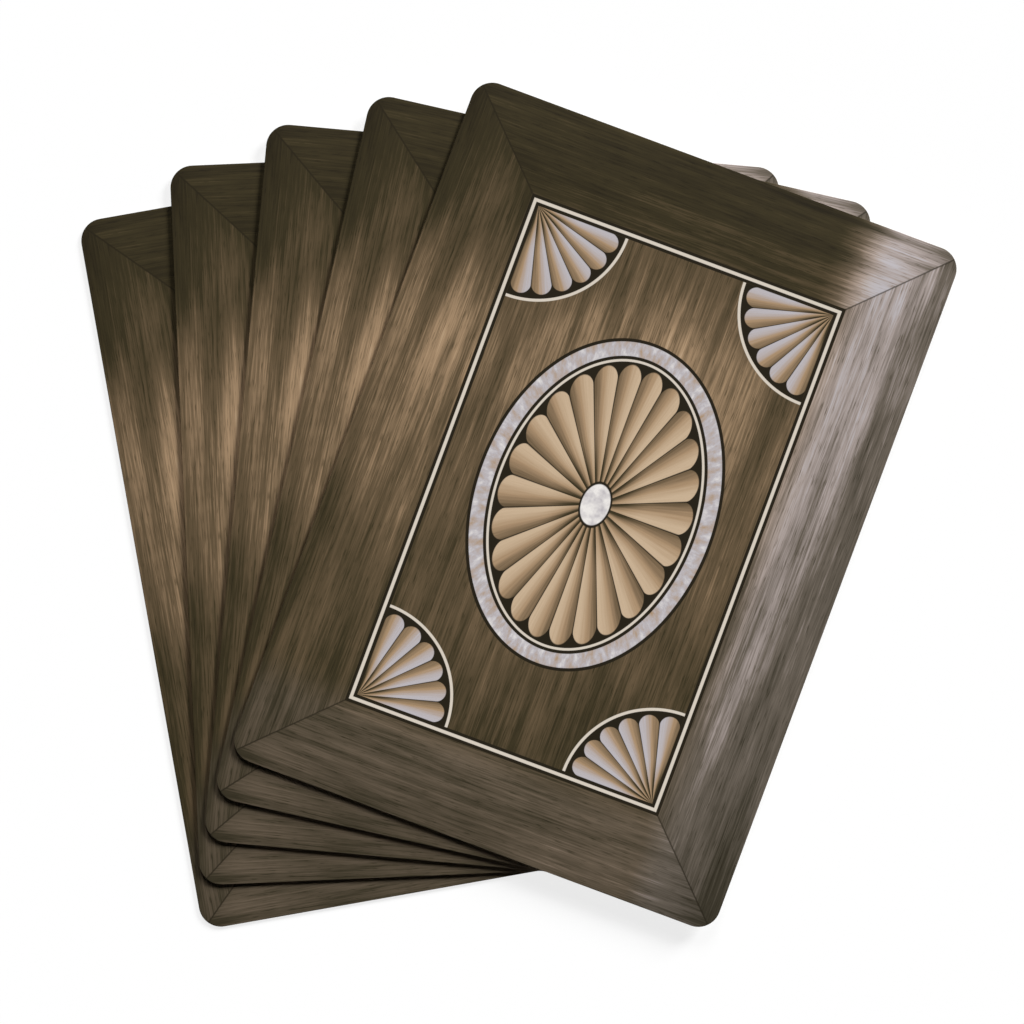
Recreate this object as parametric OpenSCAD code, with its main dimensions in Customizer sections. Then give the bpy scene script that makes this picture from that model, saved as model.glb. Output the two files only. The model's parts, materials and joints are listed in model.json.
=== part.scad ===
// Fan of poker-size playing cards lying face down, in millimetres, +Z up.
// Each card is two printed paper sheets pasted together over an opaque black core, then die-cut.
// The cards lie one over another, each turned a little further about the same pinch point.
// The origin is the centre of the bottom card's underside, and that card's long side runs along +Y.

/* [Card] */
// Width of a card
card_w = 63.5; // [50:0.5:90]
// Length of a card
card_l = 88.9; // [70:0.1:140]
// Radius of the die-cut corners
corner_r = 2.75; // [1:0.05:8]

/* [Plies] */
// Thickness of the paper sheet that carries the face print
face_t = 0.135; // [0.08:0.005:0.4]
// Thickness of the opaque paste that joins the two sheets
core_t = 0.03; // [0.02:0.005:0.2]
// Thickness of the paper sheet that carries the back print
back_t = 0.135; // [0.08:0.005:0.4]
// Bevel that the cutting die leaves round the outer rim of both sheets
cut_bevel = 0.05; // [0.01:0.005:0.07]

/* [Fan] */
// Number of cards
card_count = 5; // [2:1:12]
// Turn from one card to the next, clockwise from above
fan_step = 7.6; // [0:0.1:30]
// Air between one card and the next
air_gap = 0.1; // [0.02:0.01:0.5]
// Pinch point of the fan, to the right of the bottom card's centre line
pinch_x = 10.6; // [-40:0.1:40]
// Pinch point of the fan, beyond the cards' lower end
pinch_drop = 2.4; // [-30:0.1:30]

/* [Hidden] */
$fn = 64;
card_t = face_t + core_t + back_t;
pinch = [pinch_x, -card_l / 2 - pinch_drop];
PLIES = ["face_sheet", "core", "back_sheet"];

function node_name(card, ply) = str("card_", card, "_", ply);

// Centres of the four corner arcs, counter-clockwise from the right top one
corner_x = card_w / 2 - corner_r;
corner_y = card_l / 2 - corner_r;
CORNERS = [[corner_x, corner_y], [-corner_x, corner_y], [-corner_x, -corner_y], [corner_x, -corner_y]];

// Moves its children from the bottom card's place to the place of the given card in the fan
module at_card(card) {
    translate([pinch.x, pinch.y, (card - 1) * (card_t + air_gap)])
        rotate(-(card - 1) * fan_step)
            translate(-pinch)
                children();
}

// Outline of a card, with its rounded corners as true arcs
module card_outline() {
    square([card_w, 2 * corner_y], center = true);
    square([2 * corner_x, card_l], center = true);
    for (corner = CORNERS) translate(corner) circle(corner_r);
}

// Half section through a sheet's rim, from the corner arc's centre outwards, bevelled at the top
module rim_section(thickness) {
    polygon([
        [0, 0],
        [corner_r, 0],
        [corner_r, thickness - cut_bevel],
        [corner_r - cut_bevel, thickness],
        [0, thickness],
    ]);
}

// Straight stretch of rim of the given length, running along +Y from the origin, its cut edge towards +X
module rim_side(length, thickness) {
    translate([0, length, 0]) rotate([90, 0, 0]) linear_extrude(length) rim_section(thickness);
}

// Die-cut sheet with its bevelled rim upwards: a flat middle, four sides and four turned corners
module sheet(thickness) {
    translate([-corner_x, -corner_y, 0]) cube([2 * corner_x, 2 * corner_y, thickness]);
    for (quarter = [0:3]) {
        side = quarter % 2 == 0 ? 2 * corner_x : 2 * corner_y;
        translate(CORNERS[quarter])
            rotate(90 * quarter) {
                rotate_extrude(angle = 90) rim_section(thickness);
                rotate(90) rim_side(side, thickness);
            }
    }
}

// Face sheet, its printed side and bevelled rim down on the table
module face_sheet() {
    color([0.95, 0.94, 0.91]) translate([0, 0, face_t]) mirror([0, 0, 1]) sheet(face_t);
}

// Black paste between the sheets, which keeps the face from showing through the back
module core() {
    color([0.07, 0.07, 0.08]) translate([0, 0, face_t]) linear_extrude(core_t) card_outline();
}

// Back sheet, its printed side and bevelled rim upwards
module back_sheet() {
    color([0.38, 0.31, 0.23]) translate([0, 0, face_t + core_t]) sheet(back_t);
}

for (card = [1:card_count]) {
    at_card(card) face_sheet();
    at_card(card) core();
    at_card(card) back_sheet();
}
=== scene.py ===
"""Fan of five playing cards, backs up: printed sheets, inked faces, table, light and camera.

Cards are worked out flat in millimetres, print side up, and then turned to their places in the
fan in metres.
"""
import json
import math
from collections import namedtuple

import bmesh
import bpy
import numpy as np
from mathutils import Color, Matrix, Vector

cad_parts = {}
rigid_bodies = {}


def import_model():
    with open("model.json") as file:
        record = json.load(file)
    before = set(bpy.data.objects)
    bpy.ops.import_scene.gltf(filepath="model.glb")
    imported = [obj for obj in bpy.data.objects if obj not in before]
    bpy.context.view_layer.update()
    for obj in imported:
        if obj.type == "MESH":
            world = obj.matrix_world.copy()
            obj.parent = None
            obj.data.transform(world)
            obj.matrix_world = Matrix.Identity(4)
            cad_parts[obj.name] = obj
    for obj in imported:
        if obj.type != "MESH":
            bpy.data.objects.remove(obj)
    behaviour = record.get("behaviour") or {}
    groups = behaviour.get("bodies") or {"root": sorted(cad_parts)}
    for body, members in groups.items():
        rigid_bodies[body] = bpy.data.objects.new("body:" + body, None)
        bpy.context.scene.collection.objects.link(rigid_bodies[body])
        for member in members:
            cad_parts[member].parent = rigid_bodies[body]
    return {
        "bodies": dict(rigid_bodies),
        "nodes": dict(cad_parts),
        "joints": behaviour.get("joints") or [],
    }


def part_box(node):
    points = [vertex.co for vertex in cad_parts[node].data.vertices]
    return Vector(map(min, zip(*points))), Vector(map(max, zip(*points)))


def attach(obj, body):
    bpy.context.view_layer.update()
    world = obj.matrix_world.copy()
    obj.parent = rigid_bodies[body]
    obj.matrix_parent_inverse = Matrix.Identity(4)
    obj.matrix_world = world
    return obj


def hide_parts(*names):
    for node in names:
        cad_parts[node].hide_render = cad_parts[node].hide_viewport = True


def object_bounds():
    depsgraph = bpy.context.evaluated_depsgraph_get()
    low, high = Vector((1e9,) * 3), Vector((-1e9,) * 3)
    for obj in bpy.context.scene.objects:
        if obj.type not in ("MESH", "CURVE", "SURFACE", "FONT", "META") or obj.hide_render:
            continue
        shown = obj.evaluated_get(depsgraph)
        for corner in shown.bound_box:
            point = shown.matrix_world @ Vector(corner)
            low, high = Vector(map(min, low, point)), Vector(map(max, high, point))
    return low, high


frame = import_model()
cad_low, cad_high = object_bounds()

# Sizes of a card and places in the fan, from the frame
MM = 0.001
CARDS = sorted(frame["bodies"])
face_low, face_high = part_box("card_1_face_sheet")
back_low, back_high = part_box("card_1_back_sheet")
HALF_W = (back_high.x - back_low.x) / MM / 2
HALF_L = (back_high.y - back_low.y) / MM / 2
FACE_T = (face_high.z - face_low.z) / MM
BACK_T = (back_high.z - back_low.z) / MM
BACK_Z = back_low.z / MM
CARD_PITCH = (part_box("card_2_core")[0].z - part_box("card_1_core")[0].z) / MM
first_joint = frame["joints"][0]
PINCH = Vector((*first_joint["pos_m"][:2], 0)) / MM
# A joint's lower limit squares its card with the one below, so it is the step from card to card
FAN_STEP = math.radians(-first_joint["range_deg"][0])

# Die-cut sheet, in millimetres
CORNER_R = 2.75
CORNER_STEPS = 12
RIM_ROLL = 0.05
ROLL_STEPS = 6
# Rings between the middle of a sheet and its rim, as shares of the outline
INNER_RINGS = np.array([0.4, 0.8])
# Map that the print is baked through: its margin, the strip for the underside, the rim's stretch
MAP_MARGIN = 0.01
MAP_STRIP = 0.02
RIM_STRETCH = 6

# Ink on the faces, in millimetres: how far it stands over the paper, and how far it sinks in
INK_T = 0.008
INK_SINK = 0.004
PAPER_T = FACE_T - INK_T
# Steps of the pips' curves and arcs, and a numeral's first depth and closed seams, in type sizes
CURVE_STEPS = 10
ARC_STEPS = 14
NUMERAL_DEPTH = 0.5
SEAM_GAP = 0.0001

# A run of number cards, with pips in the usual rows and columns
HANDS = [(6, "heart"), (7, "spade"), (8, "diamond"), (9, "club"), (10, "heart")]
RED_SUITS = ("heart", "diamond")
COLUMN_X = 13.0
ROW_Y = 29.0
# Rows of the two outer columns, and the heights of the pips between them as shares of the top row's
OUTER_ROWS = {6: 3, 7: 3, 8: 3, 9: 4, 10: 4}
MIDDLE_PIPS = {6: [], 7: [1 / 2], 8: [1 / 2, -1 / 2], 9: [0], 10: [2 / 3, -2 / 3]}
PIP_H = 12.5
INDEX_AT = (26.0, 37.0)
INDEX_PIP_DROP = 8.6
INDEX_PIP_H = 5.2
NUMERAL_H = 6.8

# Edges that turn by more than this stay sharp
SHARP_TURN = math.radians(35)
# Name of the attribute that holds a point's flat place on its card
FLAT_PLACE = "card_mm"


# Surfaces in numpy

def card_outline(inset):
    """Rounded outline of a card drawn in by each inset, as an array of insets x points x 2.

    Four quarter arcs, counter-clockwise, joined by the straight sides. An arc's centre stays where
    it is as the outline draws in, and only its radius shrinks.
    """
    signs = np.array([[1, 1], [-1, 1], [-1, -1], [1, -1]])
    quarter = np.repeat(np.arange(len(signs)), CORNER_STEPS + 1)
    angle = (quarter + np.tile(np.linspace(0, 1, CORNER_STEPS + 1), len(signs))) * np.pi / 2
    centre = np.array([HALF_W, HALF_L]) - CORNER_R
    ray = np.stack([np.cos(angle), np.sin(angle)], axis=-1)
    return signs[quarter] * centre + (CORNER_R - np.asarray(inset))[:, None, None] * ray


def ring_quads(rows, columns):
    """Quads between neighbouring rings of rows x columns points, each ring closed on itself."""
    row, column = np.meshgrid(np.arange(rows - 1), np.arange(columns), indexing="ij")
    ring = row * columns
    after = (column + 1) % columns
    quads = [ring + column, ring + after, ring + columns + after, ring + columns + column]
    return np.stack(quads, axis=-1).reshape(-1, 4)


def sheet_section(thickness):
    """Share of the outline, inset and height of each ring of a die-cut sheet.

    The section starts near the middle of the underside, runs out to the cut edge, up it, over a
    quarter round of the rim's roll and back in on the print side.
    """
    roll = np.linspace(0, np.pi / 2, ROLL_STEPS)
    inner = len(INNER_RINGS)
    share = np.concatenate([INNER_RINGS, np.ones(1 + ROLL_STEPS), INNER_RINGS[::-1]])
    below = np.zeros(inner + 1)
    inset = np.concatenate([below, RIM_ROLL * (1 - np.cos(roll)), np.full(inner, RIM_ROLL)])
    rim_height = thickness - RIM_ROLL * (1 - np.sin(roll))
    height = np.concatenate([below, rim_height, np.full(inner, thickness)])
    return share[:, None, None], inset, height


def sheet_surface(thickness):
    """Closed die-cut sheet, print side up: the card's outline carried round the sheet's section.

    Rings further in than the rim are the outline shrunk towards the centre, where a fan of
    triangles closes each side. Gives the points and four sets of faces: the rings of the underside,
    those of the rest, and the fans that close the underside and the print side.
    """
    share, inset, height = sheet_section(thickness)
    rings = card_outline(inset) * share
    rows, columns = rings.shape[:2]
    grid = np.dstack([rings, np.broadcast_to(height[:, None], (rows, columns))])
    centres = [[0, 0, 0], [0, 0, thickness]]
    points = np.concatenate([grid.reshape(-1, 3), centres])
    quads = ring_quads(rows, columns)
    under_count = len(INNER_RINGS) * columns
    here = np.arange(columns)
    after = (here + 1) % columns
    last_ring = (rows - 1) * columns
    under_centre = np.full(columns, rows * columns)
    under_fan = np.stack([under_centre, after, here], axis=-1)
    print_fan = np.stack([under_centre + 1, last_ring + here, last_ring + after], axis=-1)
    return points, [quads[:under_count], quads[under_count:], under_fan, print_fan]


def sheet_map(thickness, faces):
    """Places of the corners of a sheet's faces on the map that its print is baked through.

    The sheet is laid flat with its rim stretched. The print side fills the map but for a strip at
    its right, which holds the underside.
    """
    share, inset, height = sheet_section(thickness)
    flat = card_outline(inset - RIM_STRETCH * (thickness - height)) * share
    flat = np.concatenate([flat.reshape(-1, 2), np.zeros((2, 2))])
    half_map = np.array([HALF_W, HALF_L]) + RIM_STRETCH * thickness + RIM_ROLL
    unit = (flat / half_map + 1) / 2
    map_length = 1 - 2 * MAP_MARGIN
    on_print = unit * [1 - MAP_STRIP - 3 * MAP_MARGIN, map_length] + MAP_MARGIN
    on_strip = unit * [MAP_STRIP, map_length] + [1 - MAP_STRIP - MAP_MARGIN, MAP_MARGIN]
    sides = [on_strip, on_print, on_strip, on_print]
    return np.concatenate([side[part].reshape(-1, 2) for side, part in zip(sides, faces)])


def bezier(start, pull, push, end):
    """Cubic curve from start to end, drawn towards pull and then push, without its last point."""
    t = np.linspace(0, 1, CURVE_STEPS, endpoint=False)[:, None]
    start, pull, push, end = np.array([start, pull, push, end], float)
    ends = (1 - t) ** 3 * start + t ** 3 * end
    return ends + 3 * (1 - t) ** 2 * t * pull + 3 * (1 - t) * t ** 2 * push


def arc(centre, radius, start, stop):
    """Points on a circle from one angle to another, in degrees."""
    angle = np.radians(np.linspace(start, stop, ARC_STEPS))
    return np.array(centre) + radius * np.stack([np.cos(angle), np.sin(angle)], axis=-1)


def pip_outline(suit):
    """Outline of a suit's mark, one unit high about its centre, counter-clockwise.

    Its right half runs from the top to the foot in cubic curves and arcs, and the left half mirrors it.
    """
    tip = [[0, -0.5]]
    stem = bezier((0.05, -0.2), (0.06, -0.36), (0.12, -0.47), (0.21, -0.5))
    foot = [[0.21, -0.5]]
    halves = {
        "heart": [
            bezier((0, 0.27), (0.07, 0.54), (0.48, 0.56), (0.48, 0.2)),
            bezier((0.48, 0.2), (0.48, -0.06), (0.13, -0.26), (0, -0.5)),
            tip,
        ],
        "diamond": [
            bezier((0, 0.5), (0.1, 0.3), (0.24, 0.12), (0.38, 0)),
            bezier((0.38, 0), (0.24, -0.12), (0.1, -0.3), (0, -0.5)),
            tip,
        ],
        "spade": [
            bezier((0, 0.5), (0.13, 0.26), (0.46, 0.1), (0.46, -0.13)),
            bezier((0.46, -0.13), (0.46, -0.38), (0.13, -0.38), (0.05, -0.2)),
            stem,
            foot,
        ],
        "club": [
            arc((0, 0.26), 0.23, 90, -23.6),
            arc((0.24, -0.06), 0.23, 97.2, -143.6)[1:],
            stem[1:],
            foot,
        ],
    }
    right = np.concatenate(halves[suit])
    left = right[::-1] * [-1, 1]
    on_axis = np.isclose(left[:, 0], 0)
    return np.concatenate([right, left[~on_axis]])[::-1]


def ink_prism(outline):
    """Thin closed slab of ink: an outline carried up from just inside the paper to the ink's top."""
    count = len(outline)
    low = np.column_stack([outline, np.full(count, -INK_SINK)])
    high = np.column_stack([outline, np.full(count, INK_T)])
    here = np.arange(count)
    after = (here + 1) % count
    walls = np.stack([here, after, count + after, count + here], axis=-1)
    return np.concatenate([low, high]), [*walls.tolist(), here[::-1].tolist(), (count + here).tolist()]


def set_out(name, data):
    """New object in the scene for a mesh, a curve, a lamp or a lens."""
    thing = bpy.data.objects.new(name, data)
    bpy.context.scene.collection.objects.link(thing)
    return thing


def numeral_slab(word):
    """Thin closed slab of ink in the shape of a number, centred, from a plain typeface."""
    curve = bpy.data.curves.new("numeral", "FONT")
    curve.body = word
    curve.align_x = "CENTER"
    curve.align_y = "CENTER"
    curve.extrude = NUMERAL_DEPTH
    holder = set_out("numeral", curve)
    bpy.context.view_layer.update()
    mesh = bpy.data.meshes.new_from_object(holder.evaluated_get(bpy.context.evaluated_depsgraph_get()))
    closed = bmesh.new()
    closed.from_mesh(mesh)
    bmesh.ops.remove_doubles(closed, verts=closed.verts, dist=SEAM_GAP)
    closed.to_mesh(mesh)
    closed.free()
    points = np.empty(len(mesh.vertices) * 3)
    mesh.vertices.foreach_get("co", points)
    points = points.reshape(-1, 3)
    faces = [list(face.vertices) for face in mesh.polygons]
    bpy.data.objects.remove(holder)
    bpy.data.curves.remove(curve)
    bpy.data.meshes.remove(mesh)
    low, high = points.min(axis=0), points.max(axis=0)
    points = (points - (low + high) / 2) * NUMERAL_H / (high[1] - low[1])
    points[:, 2] = np.where(points[:, 2] < 0, -INK_SINK, INK_T)
    return points, faces


def pip_places(number):
    """Centres of a number card's pips: two outer columns, and the rest down the middle."""
    rows = np.linspace(ROW_Y, -ROW_Y, OUTER_ROWS[number])
    outer = [(side * COLUMN_X, y) for side in (-1, 1) for y in rows]
    return outer + [(0, share * ROW_Y) for share in MIDDLE_PIPS[number]]


def face_ink(number, suit):
    """Ink of one face: pips that turn over below the middle, and an index in two corners."""
    pip = ink_prism(pip_outline(suit) * PIP_H)
    index_pip = ink_prism(pip_outline(suit) * INDEX_PIP_H)
    numeral = numeral_slab(str(number))
    index_x, index_y = INDEX_AT
    slabs = [(pip, (x, y), -1 if y < 0 else 1) for x, y in pip_places(number)]
    for upright in (1, -1):
        slabs.append((numeral, (-index_x * upright, index_y * upright), upright))
        slabs.append((index_pip, (-index_x * upright, (index_y - INDEX_PIP_DROP) * upright), upright))
    points, faces, count = [], [], 0
    for (shape, shape_faces), place, upright in slabs:
        points.append(shape * [upright, upright, 1] + [*place, 0])
        faces += [[count + corner for corner in face] for face in shape_faces]
        count += len(shape)
    return np.concatenate(points), faces


# Pieces

def fan_place(card):
    """Move from a card's own flat place, in millimetres, to its place in the fan, in metres.

    It is a turn about the pinch point by one fan step for each card below, and a lift by their pitch.
    """
    steps = CARDS.index(card)
    pinch = Matrix.Translation(PINCH)
    turn = Matrix.Rotation(-steps * FAN_STEP, 4, "Z")
    lift = Matrix.Translation((0, 0, steps * CARD_PITCH))
    return Matrix.Scale(MM, 4) @ lift @ pinch @ turn @ pinch.inverted()


def moved(points, matrix):
    """Points carried by a 4 x 4 matrix."""
    matrix = np.array(matrix)
    return points @ matrix[:3, :3].T + matrix[:3, 3]


def make_piece(name, card, points, faces, lay, material, slot):
    """Piece at its place in the fan, with each point's flat place kept as an attribute."""
    mesh = bpy.data.meshes.new(name)
    mesh.from_pydata(moved(points, fan_place(card) @ lay).tolist(), [], faces)
    flat = mesh.attributes.new(FLAT_PLACE, "FLOAT_VECTOR", "POINT")
    flat.data.foreach_set("vector", points.astype(np.float32).ravel())
    mesh.polygons.foreach_set("use_smooth", np.ones(len(mesh.polygons), bool))
    mesh.set_sharp_from_angle(angle=SHARP_TURN)
    mesh.materials.append(material)
    piece = set_out(name, mesh)
    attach(piece, card)
    return piece


def make_sheet(name, card, thickness, lay, material, slot):
    """Sheet of one card at its place in the fan, with the map that its print is baked through."""
    points, parts = sheet_surface(thickness)
    faces = [face for part in parts for face in part.tolist()]
    sheet = make_piece(name, card, points, faces, lay, material, slot)
    layer = sheet.data.uv_layers.new(name="OFBake")
    layer.uv.foreach_set("vector", sheet_map(thickness, parts).astype(np.float32).ravel())
    return sheet


# Patterns written as sums, on lengths in millimetres

# Width over which one printed colour passes into another
PRINT_SOFT = 0.08
# Marks strewn over a surface: their width and length, the level of the noise that they are cut
# from, its detail, and how far they move a tone
Marks = namedtuple("Marks", "width length level detail strength", defaults=(4, 1))
# Shade that sets in as a tone goes from its start to where it is full, and its depth there
Shade = namedtuple("Shade", "start full depth")
NOISE_GRIT = 0.6
NOISE_MEAN = 0.5


def feed(slot, value):
    """Links a tone or a socket into a node's input, or sets the input to a plain value."""
    if isinstance(value, Tone):
        value = value.socket
    if isinstance(value, bpy.types.NodeSocket):
        slot.id_data.links.new(value, slot)
    else:
        slot.default_value = value


class Tone:
    """A number that varies over a surface.

    Arithmetic on it adds nodes, so that a pattern reads as a formula.
    """

    def __init__(self, socket):
        self.socket = socket
        self.tree = socket.id_data

    def worked(self, operation, *others):
        """This tone and others put through one sum of a Math node."""
        node = self.tree.nodes.new("ShaderNodeMath")
        node.operation = operation
        for slot, value in zip(node.inputs, (self, *others)):
            feed(slot, value)
        return Tone(node.outputs[0])

    def __add__(self, other):
        return self.worked("ADD", other)

    def __sub__(self, other):
        return self.worked("SUBTRACT", other)

    def __rsub__(self, other):
        return self.worked("MULTIPLY_ADD", -1, other)

    def __mul__(self, other):
        return self.worked("MULTIPLY", other)

    def __truediv__(self, other):
        return self.worked("DIVIDE", other)

    def __pow__(self, other):
        return self.worked("POWER", other)

    def __abs__(self):
        return self.worked("ABSOLUTE")

    __radd__ = __add__
    __rmul__ = __mul__

    def least(self, other):
        """The lower of two tones."""
        return self.worked("MINIMUM", other)

    def most(self, other):
        """The higher of two tones."""
        return self.worked("MAXIMUM", other)

    def rise(self, low, high):
        """0 up to low and 1 from high, or the other way round where high is the lower."""
        node = self.tree.nodes.new("ShaderNodeMapRange")
        node.interpolation_type = "SMOOTHSTEP"
        for name, value in (("Value", self), ("From Min", low), ("From Max", high)):
            feed(node.inputs[name], value)
        return Tone(node.outputs[0])

    def shaded(self, shade):
        """Depth of a shade at this tone."""
        return self.rise(shade.start, shade.full) * shade.depth

    def above(self, edge):
        """1 above an edge and 0 below it, as soft as print is."""
        return self.rise(edge - PRINT_SOFT / 2, edge + PRINT_SOFT / 2)

    def between(self, low, high):
        """1 from one edge to another and 0 outside them, as soft as print is."""
        return self.above(low) * (1 - self.above(high))

    def dye(self, ramp):
        """Colour from a ramp of (place, ink) stops."""
        node = self.tree.nodes.new("ShaderNodeValToRGB")
        stops = node.color_ramp.elements
        while len(stops) < len(ramp):
            stops.new(1)
        for stop, (place, colour) in zip(stops, ramp):
            stop.position = place
            stop.color = colour
        feed(node.inputs["Fac"], self)
        return node.outputs["Color"]

    def lays(self, paint, base):
        """Colour of the paint where this tone is 1, over the base where it is 0."""
        node = self.tree.nodes.new("ShaderNodeMix")
        node.data_type = "RGBA"
        colour_a, colour_b = [slot for slot in node.inputs if slot.type == "RGBA"]
        feed(node.inputs[0], self)
        feed(colour_a, base)
        feed(colour_b, paint)
        return next(slot for slot in node.outputs if slot.type == "RGBA")


def noise(x, y, marks):
    """Cloudy tone from 0 to 1, with patches of about the marks' width and length."""
    join = x.tree.nodes.new("ShaderNodeCombineXYZ")
    for slot, value in zip(join.inputs, (x / marks.width, y / marks.length, marks.level)):
        feed(slot, value)
    node = x.tree.nodes.new("ShaderNodeTexNoise")
    node.inputs["Scale"].default_value = 1
    node.inputs["Detail"].default_value = marks.detail
    node.inputs["Roughness"].default_value = NOISE_GRIT
    feed(node.inputs["Vector"], join.outputs[0])
    return Tone(node.outputs[0])


def grain(x, y, marks):
    """Cloudy tone about 0, as strong as the marks are."""
    return (noise(x, y, marks) - NOISE_MEAN) * marks.strength


def ink(red, green, blue):
    """Linear colour of an ink given by its screen values."""
    screen_white = 255
    screen = Color((red / screen_white, green / screen_white, blue / screen_white))
    return (*screen.from_srgb_to_scene_linear(), 1)


def new_finish(name):
    """Fresh node material and its shader."""
    material = bpy.data.materials.new(name)
    material.use_nodes = True
    return material, material.node_tree.nodes["Principled BSDF"]


def split_place(socket):
    """A place or a direction as three tones."""
    split = socket.id_data.nodes.new("ShaderNodeSeparateXYZ")
    feed(split.inputs[0], socket)
    return [Tone(slot) for slot in split.outputs]


def card_place(shader):
    """Flat place of a surface on its card, as three tones."""
    place = shader.id_data.nodes.new("ShaderNodeAttribute")
    place.attribute_name = FLAT_PLACE
    return split_place(place.outputs["Vector"])


def raise_grain(shader, x, y, marks):
    """Bumps a shader by marks whose strength is their depth."""
    node = shader.id_data.nodes.new("ShaderNodeBump")
    node.inputs["Strength"].default_value = 1
    node.inputs["Distance"].default_value = marks.strength * MM
    feed(node.inputs["Height"], noise(x, y, marks))
    feed(shader.inputs["Normal"], node.outputs[0])


# Inks and their ramps
CHARCOAL = ink(38, 33, 23)
OLIVE = ink(59, 52, 34)
UMBER = ink(104, 87, 65)
TAN = ink(170, 142, 111)
SAND = ink(200, 176, 147)
LILAC = ink(186, 181, 185)
PEARL = ink(236, 232, 228)
HOLLY = ink(214, 204, 190)
SLATE = ink(62, 57, 46)
ASH = ink(106, 97, 87)
SILVER = ink(168, 156, 151)
WOOD_RAMP = [(0.05, CHARCOAL), (0.28, OLIVE), (0.55, UMBER), (0.82, TAN), (1, SAND)]
SILVER_RAMP = [(0.05, CHARCOAL), (0.28, SLATE), (0.55, ASH), (0.82, SILVER), (1, LILAC)]
FAN_RAMP = [(0, LILAC), (0.45, TAN), (1, OLIVE)]
PETAL_RAMP = [(0, SAND), (0.4, TAN), (0.8, UMBER), (1, OLIVE)]
BAND_RAMP = [(0.25, TAN), (0.54, LILAC), (0.8, PEARL)]
NACRE_RAMP = [(0.3, LILAC), (0.62, PEARL)]
COATING_RAMP = [(0.3, ink(236, 232, 222)), (0.7, ink(243, 240, 232))]
CUT_RAMP = [(0.3, ink(168, 158, 140)), (0.7, ink(196, 187, 170))]
RED_RAMP = [(0.3, ink(186, 42, 44)), (0.7, ink(158, 26, 32))]
BLACK_RAMP = [(0.3, ink(40, 38, 38)), (0.7, ink(22, 21, 22))]
PASTE_RAMP = [(0.3, ink(24, 23, 24)), (0.7, ink(46, 44, 44))]

# Paper, its print and the paste: sheen, mean roughness and gloss, and the tooth with its depth
PRINT_GLOSS = 0.05
BACK_SHEEN = Marks(width=12, length=12, level=81, detail=2, strength=0.2)
BACK_ROUGHNESS = 0.58
BACK_TOOTH = Marks(width=0.14, length=0.14, level=91, detail=1, strength=0.003)
FACE_SHEEN = Marks(width=10, length=10, level=23, strength=0.2)
FACE_ROUGHNESS = 0.55
FACE_TOOTH = Marks(width=0.12, length=0.12, level=33, detail=3, strength=0.004)
INK_SHEEN = Marks(width=0.5, length=0.5, level=24, strength=0.2)
INK_ROUGHNESS = 0.45
PASTE_GLOSS = 0.1
PASTE_ROUGHNESS = 0.9
# Colour of paper, ink and paste: clouds, fibres and specks
COATING_CLOUDS = Marks(width=4, length=6, level=3, strength=0.5)
COATING_FIBRES = Marks(width=0.15, length=0.4, level=13, strength=0.5)
CUT_FIBRES = Marks(width=0.05, length=0.05, level=71, detail=1)
INK_SPECKS = Marks(width=0.3, length=0.3, level=4, strength=0.6)
INK_CLOUDS = Marks(width=5, length=5, level=14, strength=0.4)
PASTE_SPECKS = Marks(width=0.2, length=0.2, level=6)

# Figured wood: its marks, where in the noise pores start and are full, and how far the marks tell in
# the dark and gain with the light
STREAKS = Marks(width=1.5, length=34, level=11, strength=0.8)
FIBRES = Marks(width=0.2, length=8, level=18, detail=2, strength=0.55)
FIGURE = Marks(width=6, length=14, level=14, detail=3, strength=0.4)
PORES = Marks(width=0.14, length=2.2, level=25, detail=1, strength=0.16)
PORE_START, PORE_FULL = 0.58, 0.74
MARKS_IN_DARK, MARKS_GAIN = 0.45, 0.9

# Marquetry of the backs: a mitred border, and a field framed by stringing with a pale line in it
BORDER_W = 11.2
STRINGING_W = 1.2
STRING_FROM, STRING_TO = 0.4, 0.8
FIELD_W = HALF_W - BORDER_W - STRINGING_W
FIELD_L = HALF_L - BORDER_W - STRINGING_W
MITRE_OUT, MITRE_FULL = 0.2, 0.06
MITRE_DEPTH = 0.7
# Light on the wood: what its glow adds, what it gains towards the lower end, and its least
Light = namedtuple("Light", "glow lower least")
FIELD_LIGHT = Light(glow=0.6, lower=0.08, least=0.13)
BORDER_LIGHT = Light(glow=0.49, lower=0.26, least=0.09)
# The glow's height on the card, how that wanders, its half width and length, and its powers of fading
GLOW_Y = 10
GLOW_DRIFT = Marks(width=8, length=20, level=2, detail=3, strength=16)
FIELD_GLOW_W, FIELD_GLOW_L = 24, 25
BORDER_GLOW_L = 20
FIELD_FADE, BORDER_FADE = -1.1, -1.2
# Silver-grey on the border's right and half of it at the lower end, its light at the top and its fall
RIGHT_SILVER = Shade(start=16, full=24, depth=1)
LOW_SILVER = Shade(start=-30, full=-36, depth=0.5)
SILVER_TOP, SILVER_FALL = 0.9, 0.47
# Shade along the card's sides, on the border's wood and on its silver-grey, and along the card's top,
# on the silver-grey alone
WOOD_SIDE = Shade(start=3, full=0, depth=0.22)
SILVER_SIDE = Shade(start=8, full=0, depth=0.34)
SILVER_END = Shade(start=HALF_L - 2.5, full=HALF_L, depth=0.21)

# Petals, in shares of their fan's reach and of their own width: round end, soft edge, gap, grain and
# shade
PETAL_ROUND = 0.13
PETAL_EDGE = 0.012
PETAL_GAP = 0.09
PETAL_GRAIN = Marks(width=0.09, length=0.7, level=41, detail=3, strength=0.45)
ACROSS_SHADE = Shade(start=0.1, full=1.05, depth=0.8)
HUB_SHADE = Shade(start=0.55, full=0, depth=0.55)
# Fans in the field's corners, each with a pale rim
CORNER_FAN_R = 11.0
CORNER_PETALS = 6
FAN_RIM_FROM, FAN_RIM_TO = CORNER_FAN_R + 0.45, CORNER_FAN_R + 0.8
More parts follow.
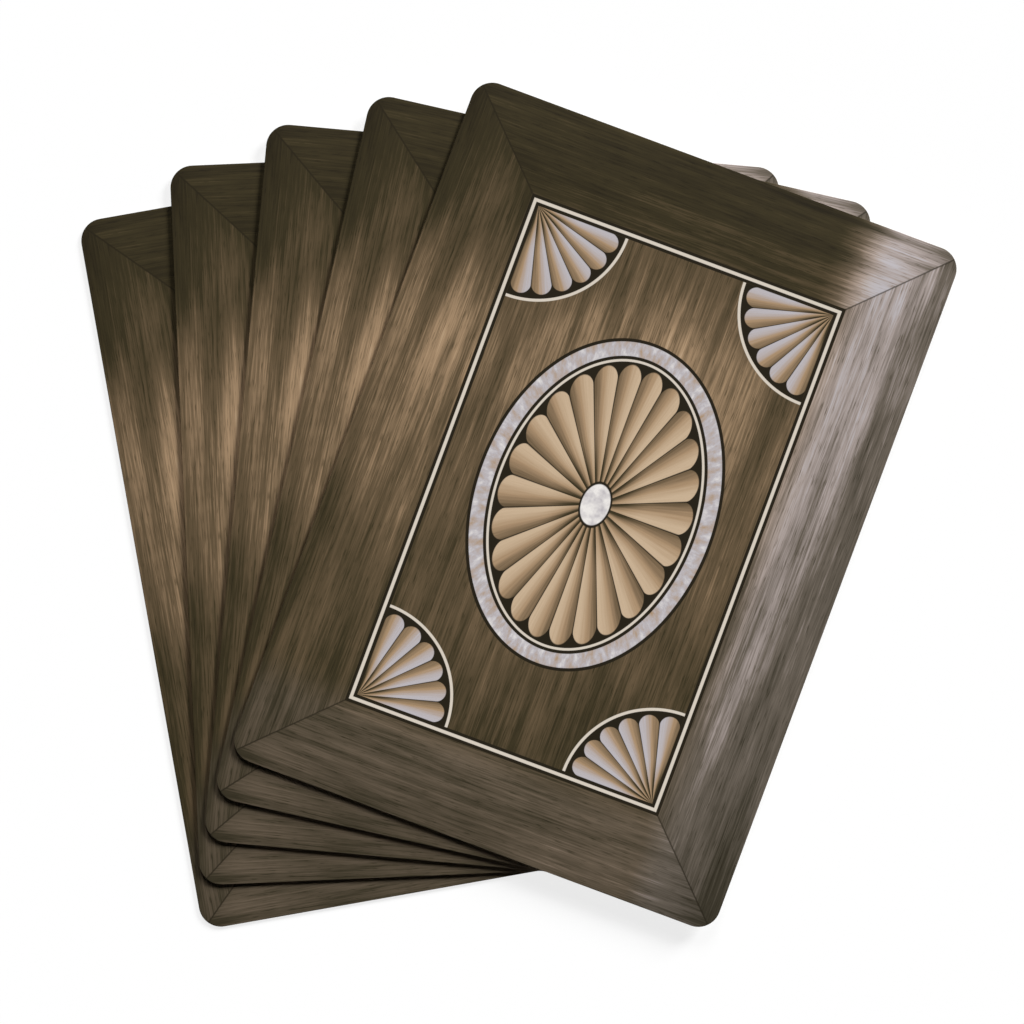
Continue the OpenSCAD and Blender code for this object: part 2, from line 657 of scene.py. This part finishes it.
# Oval in the middle: half width and length, pale line and cross-grained band at distances outside
# it, and boss
OVAL_W, OVAL_L = 12.0, 18.0
OVAL_PETALS = 24
OVAL_LINE_FROM, OVAL_LINE_TO = 0.25, 0.55
OVAL_BAND_FROM, OVAL_BAND_TO = 0.95, 2.7
OVAL_OUT = 3.1
BAND_GRAIN = Marks(width=0.01, length=2, level=61, detail=3)
BOSS_SHARE = 0.15
BOSS_RIM = 0.02
BOSS_EDGE = 0.01
NACRE_CLOUDS = Marks(width=1.4, length=1.4, level=63, detail=2)


def cut_sheet(print_colour, thickness, x, y, z):
    """Colour of a sheet: its print side, and bare fibres below the rolled rim."""
    fibres = noise(x, y, CUT_FIBRES).dye(CUT_RAMP)
    return z.rise(thickness - RIM_ROLL, thickness - RIM_ROLL / 2).lays(print_colour, fibres)


def veneer(across, along, light):
    """Tone of figured wood: the light, with streaks, fibres and short pores along the grain."""
    pores = noise(across, along, PORES).rise(PORE_START, PORE_FULL)
    marks = grain(across, along, STREAKS) + grain(across, along, FIBRES) + grain(across, along, FIGURE)
    return light + (marks - pores * PORES.strength) * (light * MARKS_GAIN + MARKS_IN_DARK)


def wooden_ground(x, y, side_in, end_in):
    """Colour of the field's veneer and of the border's.

    The border's grain follows its mitred sides, which meet where the distances in from a card's side
    and end are equal, and is cut apart from the field's. Both glow about one height on the card. The
    border turns silver-grey on its right, and half so at its lower end. It darkens towards the card's
    sides, and where it is silver-grey towards the top too.
    """
    off_mitre = side_in - end_in
    in_border = 1 - side_in.least(end_in).above(BORDER_W)
    on_end = in_border * off_mitre.above(0)
    across = x + (y - x) * on_end + in_border * HALF_L
    along = y + (x - y) * on_end
    drift = y - GLOW_Y + grain(x, y, GLOW_DRIFT)
    lower = 0.5 - y / (2 * HALF_L)
    silvered = x.shaded(RIGHT_SILVER).most(y.shaded(LOW_SILVER)) * in_border

    field_glow = (1 + (x / FIELD_GLOW_W) ** 2 + (drift / FIELD_GLOW_L) ** 2) ** FIELD_FADE
    border_glow = (1 + (drift / BORDER_GLOW_L) ** 2) ** BORDER_FADE
    field_light = field_glow * FIELD_LIGHT.glow + lower * FIELD_LIGHT.lower + FIELD_LIGHT.least
    unshaded_wood = border_glow * BORDER_LIGHT.glow + lower * BORDER_LIGHT.lower + BORDER_LIGHT.least
    wood_light = unshaded_wood * (1 - side_in.shaded(WOOD_SIDE))
    silver_shade = side_in.shaded(SILVER_SIDE) + y.shaded(SILVER_END)
    silver_light = (SILVER_TOP - lower * SILVER_FALL) * (1 - silver_shade)
    border_light = wood_light + (silver_light - wood_light) * silvered
    tone = veneer(across, along, field_light + (border_light - field_light) * in_border)

    colour = silvered.lays(tone.dye(SILVER_RAMP), tone.dye(WOOD_RAMP))
    mitre = abs(off_mitre).rise(MITRE_OUT, MITRE_FULL) * in_border
    return (mitre * MITRE_DEPTH).lays(CHARCOAL, colour)


def petals(turn, reach, count):
    """Fan of shaded petals: turn runs from 0 to 1 over its sweep, reach from 0 at the hub to 1 at the rim.

    Each petal ends in a half round, so its limit is a semicircle over its own width. Gives the
    petals' mask and their shade, which deepens across a petal and towards the hub, with a fine grain
    along it.
    """
    across = (turn * count).worked("FRACT")
    off_middle = abs(across - 0.5) * 2
    half_round = (1 - off_middle * off_middle).most(0) ** 0.5
    limit = half_round * PETAL_ROUND + (1 - PETAL_ROUND)
    mask = (limit - reach).rise(0, PETAL_EDGE) * (1 - off_middle).rise(0, PETAL_GAP)
    shade = across.shaded(ACROSS_SHADE) + reach.shaded(HUB_SHADE)
    return mask, shade + grain(turn * count, reach, PETAL_GRAIN)


def corner_fans(x, y, in_field, ground):
    """Colour of the ground with a quarter fan of petals in each corner of the field."""
    from_side = FIELD_W - abs(x)
    from_end = FIELD_L - abs(y)
    reach = (from_side * from_side + from_end * from_end) ** 0.5
    turn = from_end.worked("ARCTAN2", from_side) * (2 / math.pi)
    mask, shade = petals(turn, reach / CORNER_FAN_R, CORNER_PETALS)
    colour = ((1 - reach.above(FAN_RIM_FROM)) * in_field).lays(CHARCOAL, ground)
    colour = (mask * in_field).lays(shade.dye(FAN_RAMP), colour)
    return (reach.between(FAN_RIM_FROM, FAN_RIM_TO) * in_field).lays(HOLLY, colour)


def petal_oval(x, y, ground):
    """Colour of the ground with an oval of petals about a boss of mother-of-pearl.

    Its line and band lie at a true distance outside the ellipse: the ellipse's own measure over
    its slope.
    """
    oval_x = x / OVAL_W
    oval_y = y / OVAL_L
    reach = (oval_x * oval_x + oval_y * oval_y) ** 0.5
    slope = ((oval_x / OVAL_W) ** 2 + (oval_y / OVAL_L) ** 2) ** 0.5 / reach
    outside = (reach - 1) / slope
    turn = oval_y.worked("ARCTAN2", oval_x) * (0.5 / math.pi) + 0.5
    mask, shade = petals(turn, reach, OVAL_PETALS)
    band = noise(turn, outside, BAND_GRAIN).dye(BAND_RAMP)
    nacre = noise(x, y, NACRE_CLOUDS).dye(NACRE_RAMP)
    boss_out = BOSS_SHARE + BOSS_RIM
    colour = (1 - outside.above(OVAL_OUT)).lays(CHARCOAL, ground)
    colour = outside.between(OVAL_BAND_FROM, OVAL_BAND_TO).lays(band, colour)
    colour = outside.between(OVAL_LINE_FROM, OVAL_LINE_TO).lays(HOLLY, colour)
    colour = mask.lays(shade.dye(PETAL_RAMP), colour)
    colour = reach.rise(boss_out, boss_out - BOSS_EDGE).lays(CHARCOAL, colour)
    return reach.rise(BOSS_SHARE, BOSS_SHARE - BOSS_EDGE).lays(nacre, colour)


def marquetry_back():
    """Full-bleed print of a card's back: border, stringing, field, corner fans and petal oval."""
    material, shader = new_finish("marquetry_back")
    x, y, z = card_place(shader)
    side_in = HALF_W - abs(x)
    end_in = HALF_L - abs(y)
    inset = side_in.least(end_in)
    in_field = inset.above(BORDER_W + STRINGING_W)
    colour = wooden_ground(x, y, side_in, end_in)
    colour = corner_fans(x, y, in_field, colour)
    colour = petal_oval(x, y, colour)
    colour = inset.between(BORDER_W, BORDER_W + STRINGING_W).lays(CHARCOAL, colour)
    colour = inset.between(BORDER_W + STRING_FROM, BORDER_W + STRING_TO).lays(HOLLY, colour)
    feed(shader.inputs["Base Color"], cut_sheet(colour, BACK_T, x, y, z))
    feed(shader.inputs["Roughness"], grain(x, y, BACK_SHEEN) + BACK_ROUGHNESS)
    shader.inputs["Specular IOR Level"].default_value = PRINT_GLOSS
    raise_grain(shader, x, y, BACK_TOOTH)
    return material


def face_paper():
    """Warm white coated paper with faint clouds and fibres."""
    material, shader = new_finish("face_paper")
    x, y, z = card_place(shader)
    coating = grain(x, y, COATING_CLOUDS) + grain(x, y, COATING_FIBRES) + NOISE_MEAN
    feed(shader.inputs["Base Color"], cut_sheet(coating.dye(COATING_RAMP), PAPER_T, x, y, z))
    feed(shader.inputs["Roughness"], grain(x, y, FACE_SHEEN) + FACE_ROUGHNESS)
    shader.inputs["Specular IOR Level"].default_value = PRINT_GLOSS
    raise_grain(shader, x, y, FACE_TOOTH)
    return material


def pip_ink(name, ramp):
    """Offset ink that lies a little unevenly on the paper."""
    material, shader = new_finish(name)
    x, y, _ = card_place(shader)
    lay = grain(x, y, INK_SPECKS) + grain(x, y, INK_CLOUDS) + NOISE_MEAN
    feed(shader.inputs["Base Color"], lay.dye(ramp))
    feed(shader.inputs["Roughness"], grain(x, y, INK_SHEEN) + INK_ROUGHNESS)
    shader.inputs["Specular IOR Level"].default_value = PRINT_GLOSS
    return material


def black_paste():
    """Opaque black paste of a card's core, seen only as a line in the cut edge."""
    material, shader = new_finish("black_paste")
    place = shader.id_data.nodes.new("ShaderNodeTexCoord")
    x, y, _ = split_place(place.outputs["Object"])
    feed(shader.inputs["Base Color"], noise(x / MM, y / MM, PASTE_SPECKS).dye(PASTE_RAMP))
    shader.inputs["Roughness"].default_value = PASTE_ROUGHNESS
    shader.inputs["Specular IOR Level"].default_value = PASTE_GLOSS
    return material


# The five cards
back_finish = marquetry_back()
paper_finish = face_paper()
red_ink = pip_ink("red_ink", RED_RAMP)
black_ink = pip_ink("black_ink", BLACK_RAMP)
paste_finish = black_paste()
back_lay = Matrix.Translation((0, 0, BACK_Z))
face_lay = Matrix.Translation((0, 0, FACE_T)) @ Matrix.Rotation(math.pi, 4, "Y")
ink_lay = face_lay @ Matrix.Translation((0, 0, PAPER_T))
for card, (number, suit) in zip(CARDS, HANDS):
    back = make_sheet(f"{card}_back", card, BACK_T, back_lay, back_finish, "back_print")
    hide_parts(f"{card}_back_sheet")
    face = make_sheet(f"{card}_face", card, PAPER_T, face_lay, paper_finish, "face_paper")
    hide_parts(f"{card}_face_sheet")
    suit_ink = red_ink if suit in RED_SUITS else black_ink
    make_piece(f"{card}_pips", card, *face_ink(number, suit), ink_lay, suit_ink, "face_paper")
    core = frame["nodes"][f"{card}_core"]
    core.data.materials.clear()
    core.data.materials.append(paste_finish)

# Table, light and camera, in metres. The photograph is 1024 pixels square
IMAGE_PX = 1024
PX_PER_MM = 8.103
PINCH_PX = Vector((543.5, 890.6))
LEAN = math.radians(10.04)
CAMERA_HEIGHT = 0.28
NEAREST_SEEN = 0.0028
SENSOR_MM = 36
TABLE_SIZE = 8.0
TABLE_DROP = 0.00002
TABLE_VEIL = 0.8
WHITE = (1, 1, 1, 1)
# Even light of the room, and the heights of rays at which its ceiling is full dark and its walls end
FILL = 0.01
CEILING_FROM, WALLS_TO = 0.35, 0.1
# Share of the light, and degrees right of the picture's up, down from overhead and across the lamp
Lamp = namedtuple("Lamp", "share right down soft")
LAMPS = {
    "top_lamp": Lamp(share=0.3, right=3, down=58, soft=20),
    "right_lamp": Lamp(share=0.692, right=46, down=68, soft=18),
    "low_lamp": Lamp(share=0.008, right=-150, down=87, soft=4),
}

# The picture's up and right on the table: the bottom card leans left of upright
picture_up = Vector((math.sin(LEAN), math.cos(LEAN), 0))
picture_right = Vector((math.cos(LEAN), -math.sin(LEAN), 0))


def plain_rays(tree):
    """1 for rays from the camera and for what gloss and glass show, 0 for rays that light."""
    rays = tree.nodes.new("ShaderNodeLightPath").outputs
    seen = Tone(rays["Is Camera Ray"])
    return seen.most(rays["Is Glossy Ray"]).most(rays["Is Transmission Ray"])


def white_table():
    """White matt table that keeps the cards' shadow, veiled by white so that the shadow stays pale."""
    half = TABLE_SIZE / 2
    corners = [(-half, -half), (half, -half), (half, half), (-half, half)]
    mesh = bpy.data.meshes.new("table")
    mesh.from_pydata([(x, y, -TABLE_DROP) for x, y in corners], [], [(0, 1, 2, 3)])
    table = set_out("table", mesh)
    material, shader = new_finish("white_table")
    shader.inputs["Base Color"].default_value = WHITE
    shader.inputs["Roughness"].default_value = 1
    shader.inputs["Specular IOR Level"].default_value = 0
    tree = material.node_tree
    white = tree.nodes.new("ShaderNodeEmission")
    veil = tree.nodes.new("ShaderNodeMixShader")
    feed(veil.inputs[0], plain_rays(tree) * TABLE_VEIL)
    feed(veil.inputs[1], shader.outputs[0])
    feed(veil.inputs[2], white.outputs[0])
    feed(tree.nodes["Material Output"].inputs["Surface"], veil.outputs[0])
    mesh.materials.append(material)


def white_room():
    """Room that shows the eye and gloss white walls and a dark ceiling, and lights the cards evenly."""
    world = bpy.data.worlds.new("white_room")
    bpy.context.scene.world = world
    world.use_nodes = True
    tree = world.node_tree
    room = tree.nodes["Background"]
    direction = tree.nodes.new("ShaderNodeTexCoord")
    _, _, height = split_place(direction.outputs["Generated"])
    walls = height.rise(CEILING_FROM, WALLS_TO)
    feed(room.inputs["Strength"], plain_rays(tree) * walls * (1 - FILL) + FILL)
    room.inputs["Color"].default_value = WHITE


def soft_lamp(name, lamp):
    """Far soft lamp, whose share of the light is what it gives a level surface."""
    right, down = math.radians(lamp.right), math.radians(lamp.down)
    sun = bpy.data.lights.new(name, "SUN")
    sun.energy = (1 - FILL) * lamp.share * math.pi / math.cos(down)
    sun.angle = math.radians(lamp.soft)
    level = picture_up * math.cos(right) + picture_right * math.sin(right)
    towards = level * math.sin(down) + Vector((0, 0, math.cos(down)))
    holder = set_out(name, sun)
    holder.rotation_mode = "QUATERNION"
    holder.rotation_quaternion = (-towards).to_track_quat("-Z", "Y")


def overhead_camera():
    """Camera that looks straight down, the pinch point at its pixel and the fan at its scale."""
    off_centre = (PINCH_PX - Vector((IMAGE_PX / 2, IMAGE_PX / 2))) / PX_PER_MM * MM
    middle = PINCH * MM - picture_right * off_centre.x + picture_up * off_centre.y
    middle.z = (cad_low.z + cad_high.z) / 2
    lens = bpy.data.cameras.new("overhead")
    lens.sensor_width = SENSOR_MM
    lens.lens = CAMERA_HEIGHT * SENSOR_MM / (IMAGE_PX / PX_PER_MM * MM)
    lens.clip_start = NEAREST_SEEN
    camera = set_out("overhead", lens)
    camera.location = middle + Vector((0, 0, CAMERA_HEIGHT))
    camera.rotation_euler = (0, 0, -LEAN)
    bpy.context.scene.camera = camera


white_table()
white_room()
for lamp_name, lamp in LAMPS.items():
    soft_lamp(lamp_name, lamp)
overhead_camera()
bpy.context.scene.view_settings.view_transform = "Standard"
